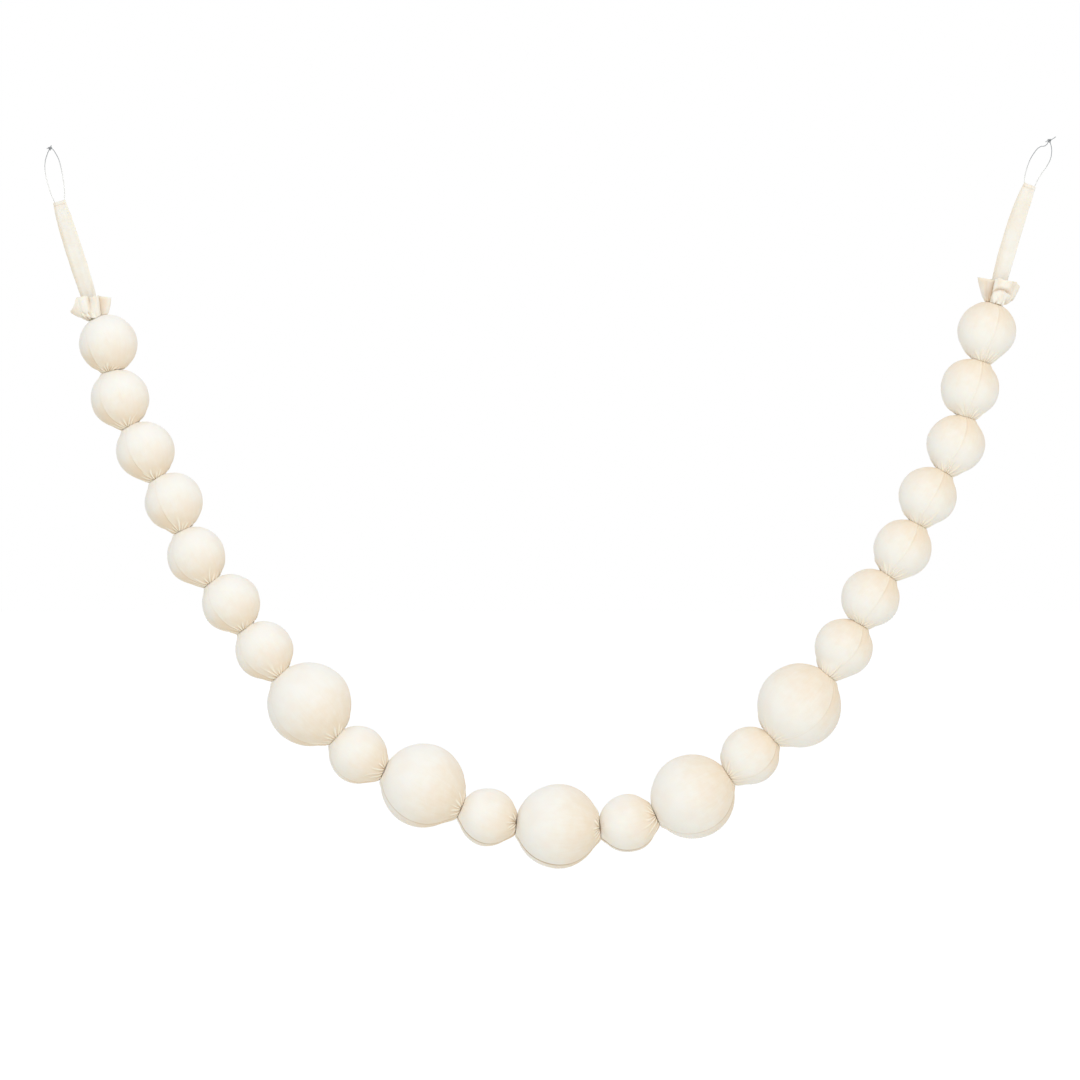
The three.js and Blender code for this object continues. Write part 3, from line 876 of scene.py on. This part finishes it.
def along_rim(rims, turn):
    """The table's values at a turn, between one hill or valley and the next."""
    first = rims[0].turn
    turn = first + (turn - first) % 360
    rows = [*rims, rims[0]._replace(turn=first + 360)]
    k = max(index for index, row in enumerate(rows[:-1]) if row.turn <= turn)
    here, after = rows[k], rows[k + 1]
    quarter = (turn - here.turn) / (after.turn - here.turn) * math.pi / 2
    share = math.sin(quarter) if after.reach > here.reach else 1 - math.cos(quarter)
    return Rim(*[mix(a, b, share) for a, b in zip(here, after)])


def frill_wall(share, rim):
    """How far out and how high the cloth is, in millimetres, at a share of its way from gather to rim."""
    if share < BELLY_SHARE:
        quarter = share / BELLY_SHARE * math.pi / 2
        return mix(FRILL_FOOT, rim.belly, math.sin(quarter)), rim.brim * (1 - math.cos(quarter))
    up = (share - BELLY_SHARE) / (1 - BELLY_SHARE)
    return mix(rim.belly, rim.reach, up**rim.curve), mix(rim.brim, rim.rise, up)


def bent_in(share, turn):
    """1 in the crease that runs in an arc across the right frill's front, and 0 away from it."""
    from_middle = (math.degrees(turn) - CREASE_MIDDLE) / CREASE_HALF_LENGTH
    up = (share - BELLY_SHARE) / (1 - BELLY_SHARE)
    from_crease = up - CREASE_HEIGHT + CREASE_SAG * from_middle**2
    return bell(from_crease, CREASE_WIDTH) * (1 - smooth(abs(from_middle) - 0.6))


# %% [markdown]
# ## Make the frills
# A frill is one ring of cloth, so it is spun from a straight line into a tube, and then every vertex moves
# to the wall that the table gives. Small pleats lie round the gather, and towards the raw edge the cloth is
# ruffled and lumpy, by amounts that are in millimetres as well. The left frill stands up more than its neck
# does, so its foot turns to the neck and its rim doesn't. Where a frill touches its ball, it lies on it. A
# Solidify modifier gives the thickness.

# %% Make the frills
FRILL_THICKNESS = 1.2 * MM
LIES_CLEAR = 0.05 * MM
FRILL_STEPS, FRILL_TURNS = 44, 192
FRILL_PLEATS = 14
PLEATS_OUT, PLEATS_IN = 1.5, 0.8
RUFFLE_OUT, RUFFLE_UP = 1.6, 0.9
LUMP_OUT, LUMP_UP = 0.8, 0.5
CREASE_DEPTH = 3
FRILL_FLAT = {"radius": 24 * MM, "height": 24 * MM}
HELD_SHARE = {"inner": 0.1, "outer": 0.45}
FRILL_NAP_SHEEN = 0.9


def flat_area(bm):
    return sum(face.calc_area() for face in bm.faces)


def thicken(piece, thickness):
    wall = piece.modifiers.new("cloth", "SOLIDIFY")
    wall.thickness = thickness
    wall.offset = 0


def frill_tube():
    """An open tube whose wall is 1 away from its middle line and 1 high."""
    bm = bmesh.new()
    line = [bm.verts.new((1, 0, step / FRILL_STEPS)) for step in range(FRILL_STEPS + 1)]
    edges = [bm.edges.new(pair) for pair in zip(line, line[1:])]
    bmesh.ops.spin(bm, geom=[*line, *edges], cent=(0, 0, 0), axis=(0, 0, 1), angle=TAU, steps=FRILL_TURNS,
                   use_merge=True)
    return bm


def frill_marks(side, share, rim, bent, gathered_share, pleat):
    """The painted shade in folds and crease and under the left frill's high brim, which hangs over, and the
    painted highlight on crests, belly edge, rim and foot.
    """
    shade = mix(rim.foot_shade, rim.rim_shade, smooth(share)) ** 1.5
    overhang = max(0, rim.brim) / 3 if side == "left" else 0
    # Painted shade under the left belly and a painted highlight along its edge; a painted highlight along the
    # rim and at the foot, where the frill lies on its ball.
    under_belly = overhang * (1 - smooth((share - BELLY_SHARE + 0.04) / 0.08))
    lit_belly = overhang * bell(share - BELLY_SHARE - 0.04, 0.05)
    rim_highlight = smooth((share - 0.9) / 0.08)
    at_foot = 1 - smooth(share / 0.12)
    fold = max(shade, 0.2 * under_belly, 0.6 * bent, gathered_share * max(0, -pleat) * 0.9)
    crest = max(gathered_share * max(0, pleat) * 0.8, 0.8 * lit_belly, 0.5 * rim_highlight, 0.7 * at_foot)
    return min(1, fold), min(1, max(0, crest))


def velvet_frill(side, foot, neck_way, ball_middle, ball_radius):
    bm = frill_tube()
    nap_sheen_mark, fold_mark, crest_mark = mark_cloth(bm)
    lean = FRILL_LEANS[side]
    up, across = leaning(lean), leaning(lean - 90)
    bend = math.atan2(neck_way.dot(across), neck_way.dot(up))
    swirl = random.Random(f"frill {side}").uniform(0, TAU)
    cloth = {}
    for vert in bm.verts:
        share = vert.co.z
        turn = math.atan2(vert.co.x, vert.co.y)
        to_side, to_front = math.sin(turn), math.cos(turn)
        cloth[vert] = (turn * FRILL_FLAT["radius"], share * FRILL_FLAT["height"])
        rim = along_rim(RIMS[side], math.degrees(turn))
        radius, height = frill_wall(share, rim)
        bent = bent_in(share, turn) if side == "right" else 0
        ruffle = noise.noise(Vector((to_side * 3, to_front * 3, share * 1.2 + lean / 60)))
        lump = noise.noise(Vector((to_side * 4, to_front * 4, share * 5 + lean / 60)))
        pleat = math.sin(FRILL_PLEATS * turn + 4 * lump + swirl)
        gathered_share = (1 - smooth((share - 0.15) / 0.4)) * smooth(share / 0.08) * (0.8 + lump)
        radius += (RUFFLE_OUT * ruffle + LUMP_OUT * lump) * share - CREASE_DEPTH * bent
        radius += (PLEATS_OUT * pleat - PLEATS_IN) * gathered_share
        height += RUFFLE_UP * ruffle * share**2 + LUMP_UP * lump * smooth(share / 0.3)

        place = up * height * MM + (across * to_side + FRONT * to_front) * radius * MM
        outer_side = (1 + to_side) / 2 if side == "left" else 1
        held = mix(HELD_SHARE["inner"], HELD_SHARE["outer"], outer_side)
        place = foot + Matrix.Rotation(-bend * (1 - smooth(share / held)), 3, FRONT) @ place
        from_ball = place - ball_middle
        lying = max(from_ball.length, ball_radius + FRILL_THICKNESS / 2 + LIES_CLEAR)
        vert.co = ball_middle + from_ball.normalized() * lying
        # The pile's painted sheen, paler and warmer with the ruffles.
        vert[nap_sheen_mark] = FRILL_NAP_SHEEN * ruffle
        vert[fold_mark], vert[crest_mark] = frill_marks(side, share, rim, bent, gathered_share, pleat)
    lay_flat(bm, cloth, TAU * FRILL_FLAT["radius"])
    bmesh.ops.recalc_face_normals(bm, faces=bm.faces)
    print(f"the {side} frill has {flat_area(bm) * 1e4:.1f} cm2 of velvet")
    piece = velvet_piece(f"frill_{side}", bm)
    thicken(piece, FRILL_THICKNESS)


feet = {}
for side, lean, i in (("left", FIRST_NECK_LEAN, 0), ("right", LAST_NECK_LEAN, BALL_COUNT - 1)):
    feet[side] = middles[i] + leaning(lean) * (radii[i] + FRILL_THICKNESS / 2 + LIES_CLEAR)
    velvet_frill(side, feet[side], leaning(lean), middles[i], radii[i])

# %% [markdown]
# ## The tabs
# A tab is a strip of the same velvet with its long edges folded to the back and sewn, so it is a flat tube,
# open at the top, where the cord goes in. It is widest in the middle and thins where it is sewn at the top.
# Its middle line is a Bezier curve from the frill to the cord, and a short table gives its width in
# millimetres at shares of its length.

# %% The tabs' line and width
TabRow = namedtuple("TabRow", "share width")
TAB_ROWS = [TabRow(*row) for row in (
    (0, 5), (0.07, 8), (0.18, 15.5), (0.3, 17), (0.5, 18.4), (0.75, 17.8), (0.88, 16.4), (0.95, 14.6),
    (1, 13.2),
)]
TAB_POINTS = {
    "left": [(0.0418, -0.155), (0.0209, -0.0983), (0.0088, -0.0543)],
    "right": [(-0.0496, -0.1462), (-0.0351, -0.0852), (-0.0164, -0.0404)],
}
INSIDE_FRILL = 4.6 * MM


def tab_width(share):
    k = max(index for index, row in enumerate(TAB_ROWS[:-1]) if row.share <= share)
    low, high = TAB_ROWS[k], TAB_ROWS[k + 1]
    return mix(low.width, high.width, (share - low.share) / (high.share - low.share)) * MM


def on_tab_line(points, share):
    """The place on the curve through four Bezier points, and the direction back along it."""
    first, second, third = (a.lerp(b, share) for a, b in zip(points, points[1:]))
    first, second = first.lerp(second, share), second.lerp(third, share)
    return first.lerp(second, share), (first - second).normalized()


# %% [markdown]
# ## Make the tabs
# A grid is wrapped round into the flat tube, its two long edges are merged, and the tube follows the curve.
# It creases where it comes out of the frill, has a shallow line of stitches just under its top, and its
# edges wave a little, because they are folded by hand. Its creases, its stitch line and its left edge are
# painted darker, a painted shade, and its folded edges paler, a painted highlight.

# %% Make the tabs
TAB_CLOTH = 0.8 * MM
TAB_COLUMNS, TAB_STEPS = 48, 110
TAB_DEPTH = {"open": 1.3 * MM, "sewn": 0.6 * MM}
TAB_FLAT = {"radius": 6 * MM, "length": 118 * MM}
WRINKLES, CREASES, ENTERING_CREASES = 0.25, 0.2, 1.0
SEWN_AT, SEWN_WIDTH, SEWN_DEPTH = 0.975, 1 / 240, 0.12 * MM
EDGE_WAVES = 0.25 * MM


def blunted(wave, power):
    """A sine or cosine that stays nearer to its ends, so that a tube made with both has a flatter section."""
    return math.copysign(abs(wave) ** power, wave)


def velvet_tab(side, foot):
    points = [foot, *in_place(side, TAB_POINTS[side])]
    sign = 1 if side == "left" else -1
    bm = bmesh.new()
    bmesh.ops.create_grid(bm, x_segments=TAB_COLUMNS, y_segments=TAB_STEPS, size=0.5)
    nap_sheen_mark, fold_mark, crest_mark = mark_cloth(bm)
    cloth = {}
    for vert in bm.verts:
        turn, share = vert.co.x * TAU, vert.co.y + 0.5
        middle, back_along = on_tab_line(points, share)
        cloth[vert] = (turn * TAB_FLAT["radius"], share * TAB_FLAT["length"])
        half = tab_width(share) / 2 - TAB_CLOTH / 2
        x, z = blunted(math.sin(turn), 0.9), blunted(math.cos(turn), 0.8)
        depth = mix(TAB_DEPTH["open"], TAB_DEPTH["sewn"], smooth((share - 0.85) / 0.15))
        wrinkle = noise.noise(Vector((x * 1.2 + share * 3, share * 7, 7 + sign)))
        crease = noise.noise(Vector((x * 1.6 - share * 6, share * 3, 3 + sign)))
        entering = 1 - smooth((share - 0.2) / 0.25)
        rise = (WRINKLES * wrinkle + (CREASES + ENTERING_CREASES * entering) * crease) * MM
        rise *= 1 - 0.8 * smooth((share - 0.93) / 0.05)
        sewn_line = bell(share - SEWN_AT, SEWN_WIDTH)
        rise -= math.copysign(SEWN_DEPTH, z) * sewn_line
        edge = EDGE_WAVES * noise.noise(Vector((3.3, share * 10, x + sign)))
        sideways = FRONT.cross(back_along) * (x * half + edge * abs(x))
        vert.co = middle + sideways + FRONT * (z * depth + rise * (1 - abs(x) ** 6))
        # Painted shade on the left edge, in the stitch line and in the creases near the frill, a painted
        # highlight on the folded edges, and the pile's painted sheen, varying at random.
        shaded_edge = 0.35 * smooth((-x - 0.5) / 0.5)
        vert[nap_sheen_mark] = 0.1 + 0.5 * noise.noise(Vector((x * 1.5, share * 1.5, 11 + sign)))
        vert[fold_mark] = min(1, 0.35 * sewn_line + 0.5 * entering * max(0, -crease) + shaded_edge)
        vert[crest_mark] = 0.3 * smooth((abs(x) - 0.6) / 0.4)
    lay_flat(bm, cloth)
    bmesh.ops.remove_doubles(bm, verts=bm.verts, dist=0.02 * MM)
    bmesh.ops.recalc_face_normals(bm, faces=bm.faces)
    print(f"the {side} tab has {flat_area(bm) * 1e4:.1f} cm2 of velvet")
    piece = velvet_piece(f"tab_{side}", bm)
    thicken(piece, TAB_CLOTH)


for side in ("left", "right"):
    velvet_tab(side, feet[side] + leaning(FRILL_LEANS[side]) * INSIDE_FRILL)

# %% [markdown]
# ## Light and ground
# Plain studio light: an even pale surround and one large soft lamp above and in front, so the balls are
# brightest at the top and their undersides stay soft. The surround is white to the camera. The floor is far
# below the garland: a matt ground that sends some warm light up, looks white to the camera, and keeps a
# faint shadow.

# %% World
def studio_world():
    world = bpy.data.worlds.new("studio")
    world.use_nodes = True
    tree = world.node_tree
    tree.nodes.clear()
    path = add(tree, "ShaderNodeLightPath", {})
    seen = add(tree, "ShaderNodeMath", {0: path.outputs["Is Camera Ray"], 1: path.outputs["Is Glossy Ray"]},
               operation="MAXIMUM")
    seen = add(tree, "ShaderNodeMath", {0: seen.outputs[0], 1: path.outputs["Is Transmission Ray"]},
               operation="MAXIMUM")
    room = add(tree, "ShaderNodeBackground", {"Color": linear("FDFEFF"), "Strength": 0.76})
    backdrop = add(tree, "ShaderNodeBackground", {"Color": linear("FFFFFF"), "Strength": 1.0})
    both = add(tree, "ShaderNodeMixShader", {0: seen.outputs[0], 1: room.outputs[0], 2: backdrop.outputs[0]})
    add(tree, "ShaderNodeOutputWorld", {"Surface": both.outputs[0]})
    bpy.context.scene.world = world


studio_world()

# %% Lamp
def soft_lamp(name, place, aim, size, power):
    lamp_data = bpy.data.lights.new(name, "AREA")
    lamp_data.size = size
    lamp_data.energy = power
    lamp = bpy.data.objects.new(name, lamp_data)
    lamp.location = place
    lamp.rotation_euler = (aim - Vector(place)).to_track_quat("-Z", "Y").to_euler()
    bpy.context.scene.collection.objects.link(lamp)


soft_lamp("key", (0.45, -3.2, 1.6), LOOK_AT, 2.2, 43)

# %% Floor
FLOOR_DROP = 0.45
FLOOR_HALF_WIDTH = 30


def floor():
    material, tree = new_material("floor_matt_white")
    path = add(tree, "ShaderNodeLightPath", {})
    matt = add(tree, "ShaderNodeBsdfDiffuse", {"Color": linear("F7F5EF")})
    white = add(tree, "ShaderNodeEmission", {"Color": linear("9EA0A8"),
                                             "Strength": path.outputs["Is Camera Ray"]})
    glow = add(tree, "ShaderNodeAddShader", {0: matt.outputs[0], 1: white.outputs[0]})
    add(tree, "ShaderNodeOutputMaterial", {"Surface": glow.outputs[0]})
    bm = bmesh.new()
    bmesh.ops.create_grid(bm, x_segments=1, y_segments=1, size=FLOOR_HALF_WIDTH)
    bmesh.ops.translate(bm, verts=bm.verts, vec=(0, 0, cad_low.z - FLOOR_DROP))
    finished("floor", bm, material, smooth_shading=False)


floor()

# %% [markdown]
# ## Finish
# The picture uses the Standard view transform.

# %% Finish
bpy.context.scene.view_settings.view_transform = "Standard"
